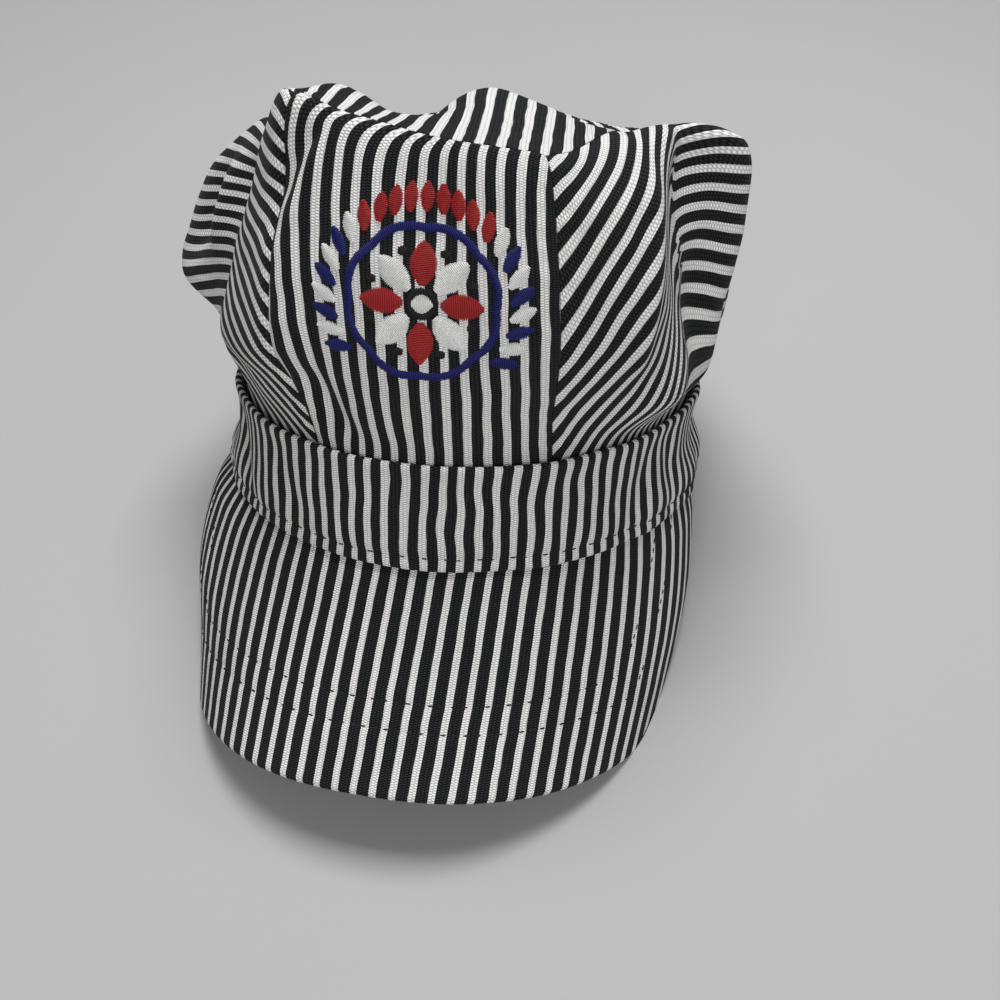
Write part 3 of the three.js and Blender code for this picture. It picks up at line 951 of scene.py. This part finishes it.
def rowOfStitches(surface, a, b, probe, side=1):
    # even stitches along a path on a surface: side is -1 where its outside faces the other way
    length = lengthAlong(surface(a, b))
    count = round(float(length[-1]) * 1000 / topstitch["spacing"])
    draw = np.random.default_rng(topstitch["seed"])
    at = (np.arange(count) + 0.5 + topstitch["jitter"] * draw.uniform(-1, 1, count)) / count
    half = topstitch["share"] / 2 / count
    place = lambda t: [np.interp(t * length[-1], length, path) for path in (a, b)]
    outward = side * outwardAt(surface, *place(at), probe)
    return surface(*place(at - half)), surface(*place(at + half)), outward


darkThread = spunThread("dark_thread", topstitch["colour"], topstitch["gloss"])


def sewBand():
    angle = np.linspace(-180, 180, 1441)
    up = np.full(angle.shape, band["stitchUp"] / band["height"])
    row = rowOfStitches(inFrame(bandSurface), angle, up, bandLook["probe"])
    sewn("band_stitches", row, topstitch, darkThread)


def sewPeak(name, inset):
    # a row of stitches that far in from the peak's rim, worked out on the peak laid flat
    angles, across, start, along = peakSheet()
    rim = np.stack([across, along], -1)
    ahead = unit(np.gradient(rim, axis=0))
    inner = rim + inset * np.stack([ahead[:, 1], -ahead[:, 0]], -1)
    clear = rimDistance(inner[:, 0], inner[:, 1]) > inset - peak["stitchSlack"]
    clear &= inner[:, 1] > np.interp(inner[:, 0], across, start) + peak["stitchClear"]
    flat = inner[clear]
    angle = np.interp(flat[:, 0], across, angles)
    run = flat[:, 1] - np.interp(flat[:, 0], across, start)
    row = rowOfStitches(inFrame(peakOutside), angle, run, peak["probe"], -1)
    sewn(name, row, topstitch, darkThread)


sewBand()
for letter, rimInset in zip("ab", peak["stitchIn"]):
    sewPeak("peak_stitches_" + letter, rimInset)

# The badge: a rosette of satin stitches in a ring on the front panel, with a wreath over it.
# Sizes are millimetres on the badge laid flat, with its middle at 0, 0, angles from its right.
badge = {
    # angle and height on the wall: the middle, its reach, and how they are probed and stepped
    "centre": (3.5, 0.535), "span": (8, 0.1), "probe": (0.4, 0.008), "step": (0.5, 0.01),
    "leap": (6, 0.1), "rounds": 7, "upRange": (0.02, 0.99),
    "spacing": 0.48, "longer": 0.3, "seed": 31, "gloss": 0.45,
    "leafStart": 0.6, "leafEnd": 0.3, "leafPoint": 0.75,
    "ring": {"radius": 18.6, "scallop": 0.9, "scallops": 8, "width": 2.2},
    "petals": {"count": 8, "from": 4.6, "length": 12, "width": 7.4},
    "eye": {"radius": 2.6, "rim": 4.4, "longer": 0.5},
    "dots": {"reach": 14.6, "size": 2.4, "longer": 0.4},
    "wreath": {"radius": 23.4, "from": -38, "to": 218, "leaves": 25, "redHalf": 50, "lean": 38,
               "leanOver": 30, "length": 8.2, "width": 3.7},
    "thread": {"radius": 0.00027, "rise": 0.0005, "sink": 0.0003, "steps": 5, "sides": 5},
    "colours": {"blue": (0.009, 0.012, 0.13, 1), "red": (0.38, 0.018, 0.018, 1),
                "white": (0.86, 0.86, 0.84, 1), "black": (0.01, 0.01, 0.012, 1)},
}


def toward(turn):
    return np.array([cosine(turn), sine(turn)])


def leaf(base, heading, length, width):
    # a pointed oval filled across its length: the start and end of each stitch
    s = np.arange(badge["leafStart"], length - badge["leafEnd"], badge["spacing"])
    half = width / 2 * np.sin(math.pi * s / length) ** badge["leafPoint"]
    ahead = toward(heading)
    aside = half[:, None] * np.array([-ahead[1], ahead[0]])
    spine = np.array(base) + s[:, None] * ahead
    return np.stack([spine + aside, spine - aside], 1)


def longDot(middle, size, longer):
    # a dot of stitches that run up and down
    return leaf(middle - np.array([size / 2 + longer, 0]), 0, size + 2 * longer, size)


def ringOf(inner, outer, scallop=0.0):
    turn = np.arange(0, 2 * math.pi, badge["spacing"] / ((inner + outer) / 2))
    wave = scallop * np.abs(np.sin(badge["ring"]["scallops"] * turn / 2))
    ahead = np.stack([np.cos(turn), np.sin(turn)], -1)
    return np.stack([(inner + wave)[:, None] * ahead, (outer + wave)[:, None] * ahead], 1)


def badgeStitches():
    laid = {name: [] for name in badge["colours"]}
    ring, petals, eye, dots, wreath = (badge[k] for k in ("ring", "petals", "eye", "dots", "wreath"))
    laid["blue"].append(ringOf(ring["radius"], ring["radius"] + ring["width"], ring["scallop"]))
    laid["black"].append(ringOf(eye["radius"], eye["rim"]))
    laid["white"].append(longDot(np.zeros(2), 2 * eye["radius"], eye["longer"]))
    for k in range(petals["count"]):
        turn = 90 + 360 * k / petals["count"]
        petal = leaf(petals["from"] * toward(turn), turn, petals["length"], petals["width"])
        laid[("red", "white")[k % 2]].append(petal)
        middle = dots["reach"] * toward(turn + 180 / petals["count"])
        laid["black"].append(longDot(middle, dots["size"], dots["longer"]))
    for k in range(wreath["leaves"]):
        turn = mix(wreath["from"], wreath["to"], k / (wreath["leaves"] - 1))
        fromTop = turn - 90
        lean = -wreath["lean"] * max(-1, min(1, fromTop / wreath["leanOver"]))
        colour = "red" if abs(fromTop) < wreath["redHalf"] else ("blue", "white")[k % 2]
        base = wreath["radius"] * toward(turn)
        laid[colour].append(leaf(base, turn + lean, wreath["length"], wreath["width"]))
    return {name: np.concatenate(rows) for name, rows in laid.items()}


def onPanel(x, y):
    # the angle and height on the crown's wall of a place on the badge, by Newton's method
    surface = lambda angle, up: inFrame(crownWall)(angle, up) * 1000
    angle, up = (np.full(np.shape(x), float(value)) for value in badge["centre"])
    middle = surface(angle[:1], up[:1])[0]
    across, rise = spans(surface, angle[:1], up[:1], badge["span"])
    right = unit(across)[0]
    upward = unit(np.cross(unit(np.cross(across, rise))[0], right))
    leapA, leapB = badge["leap"]
    for _ in range(badge["rounds"]):
        here = surface(angle, up) - middle
        runs = zip(spans(surface, angle, up, badge["step"]), badge["step"])
        slopeA, slopeB = (run / (2 * step) for run, step in runs)
        missX = x - here @ right
        missY = y - here @ upward
        a, b, c, d = slopeA @ right, slopeB @ right, slopeA @ upward, slopeB @ upward
        size = a * d - b * c
        angle = angle + np.clip((d * missX - b * missY) / size, -leapA, leapA)
        up = np.clip(up + np.clip((a * missY - c * missX) / size, -leapB, leapB), *badge["upRange"])
    return angle, up


def makeBadge():
    surface = inFrame(crownWall)
    draw = np.random.default_rng(badge["seed"])
    for name, rows in badgeStitches().items():
        along = unit(rows[:, 1] - rows[:, 0])
        more = badge["longer"] * draw.uniform(0.2, 1, (len(rows), 1))
        starts = rows[:, 0] - along * more
        ends = rows[:, 1] + along * more
        middle = onPanel(*((starts + ends) / 2).T)
        outward = outwardAt(surface, *middle, badge["probe"])
        places = surface(*onPanel(*starts.T)), surface(*onPanel(*ends.T)), outward
        thread = spunThread(name + "_thread", badge["colours"][name], badge["gloss"])
        sewn("badge_" + name, places, badge["thread"], thread)


makeBadge()
print("stitches made")

# The stage: a pale floor that curves up behind, soft light and the camera.
stage = {"grey": 0.43, "roughness": 0.9, "specular": 0.2, "front": -6.0, "turnAt": 1.2, "radius": 1.2,
         "steps": 24, "top": 4.0, "halfWidth": 5.0}


def makeFloor():
    turnAt, radius, side = stage["turnAt"], stage["radius"], stage["halfWidth"]
    angles = np.linspace(0, 90, stage["steps"])
    curve = [(turnAt + radius * sine(a), radius * (1 - cosine(a))) for a in angles]
    profile = [(stage["front"], 0), *curve, (turnAt + radius, stage["top"])]
    points = [(x, y, z) for y, z in profile for x in (-side, side)]
    quads = [(2 * i, 2 * i + 1, 2 * i + 3, 2 * i + 2) for i in range(len(profile) - 1)]
    mesh = newMesh("floor", points, quads)
    material, graph = newMaterial("pale_floor")
    finish(graph, {"Base Color": grey(stage["grey"]), "Roughness": stage["roughness"],
                   "Specular IOR Level": stage["specular"]})
    mesh.materials.append(material)
    added("floor", mesh)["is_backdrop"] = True


lights = {
    "above": {"place": (0.0, 0.3, 1.2), "size": 0.6, "power": 15, "colour": (1, 1, 1)},
    "front": {"place": (0.3, -1.6, 0.85), "size": 0.9, "power": 12, "colour": (1, 0.995, 0.985)},
    "side": {"place": (1.3, -0.9, 0.8), "size": 1.0, "power": 3.5, "colour": (0.98, 0.99, 1)},
}
room = {"aim": Vector((0, 0, 0.09)), "grey": 0.9, "glow": 0.19}


def makeLights():
    for name, look in lights.items():
        lamp = bpy.data.lights.new(name, "AREA")
        lamp.shape = "SQUARE"
        lamp.size = look["size"]
        lamp.energy = look["power"]
        lamp.color = look["colour"]
        holder = added(name, lamp)
        holder.location = look["place"]
        holder.rotation_euler = (room["aim"] - holder.location).to_track_quat("-Z", "Y").to_euler()
    world = bpy.data.worlds.new("room")
    world.use_nodes = True
    graph = Graph(world.node_tree)
    glow = graph.node("ShaderNodeBackground", {"Color": grey(room["grey"]), "Strength": room["glow"]})
    graph.node("ShaderNodeOutputWorld", {"Surface": glow})
    bpy.context.scene.world = world
    bpy.context.scene.view_settings.view_transform = "Standard"


# The camera looks at the cap as the picture does, worked out in the cap's own place: its
# height above the band's plane, its turn to the side, its roll, and where it aims.
view = {"lens": 45.36, "sensor": 36, "distance": 450, "height": 25.4, "turn": 10.4, "roll": 2.8,
        "right": 10.5, "up": -17.9}


def makeCamera():
    turn, height, roll = view["turn"], view["height"], view["roll"]
    back = atAngle(cosine(height), turn, sine(height))
    level = atAngle(1, turn + 90, 0)
    upright = np.cross(back, level)
    right = level * cosine(roll) + upright * sine(roll)
    up = upright * cosine(roll) - level * sine(roll)
    eye = right * view["right"] + up * view["up"] + back * view["distance"]
    tilt = Matrix.Rotation(-math.radians(rest["tilt"]), 3, "X")
    axes = Matrix([right, up, back]).transposed()
    placed = (tilt @ axes).to_4x4()
    shifted = tilt @ Vector(eye) + Vector((rest["shiftX"], rest["shiftY"], restLift()))
    placed.translation = shifted * 0.001
    camera = bpy.data.cameras.new("camera")
    camera.lens = view["lens"]
    camera.sensor_width = view["sensor"]
    holder = added("camera", camera)
    holder.matrix_world = placed
    bpy.context.scene.camera = holder
    print("camera height above the floor:", round(placed.translation.z, 3))


makeFloor()
makeLights()
makeCamera()
print("stage made")

sizes = {"cad": [list(corner) for corner in cadBox], "visual": [list(corner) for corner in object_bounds()]}
